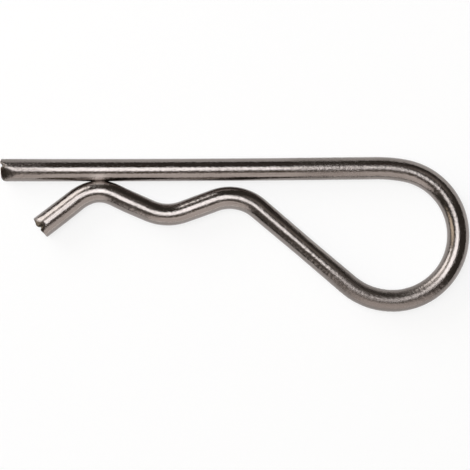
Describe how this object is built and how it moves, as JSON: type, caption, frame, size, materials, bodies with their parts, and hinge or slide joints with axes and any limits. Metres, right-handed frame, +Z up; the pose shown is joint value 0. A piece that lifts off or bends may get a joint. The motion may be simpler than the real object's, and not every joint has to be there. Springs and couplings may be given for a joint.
{
  "type": "hairpin cotter pin",
  "caption": "Hairpin cotter of round spring wire: a straight leg for a shaft's cross hole and a bent, sprung leg that grips the shaft, joined by an open bow.",
  "frame": {"origin": "middle of the outline, on the plane that the clip lies on", "axes": "+X along the clip towards the bow, +Y towards the straight leg, +Z up from the plane it lies on, which is also the shaft's direction"},
  "size_m": [0.0635, 0.021, 0.0031],
  "materials": {
    "spring_wire": "bright drawn spring steel with fine draw lines along the wire"
  },
  "bodies": {
    "root": {"spring_wire": "spring_wire"}
  },
  "joints": []
}
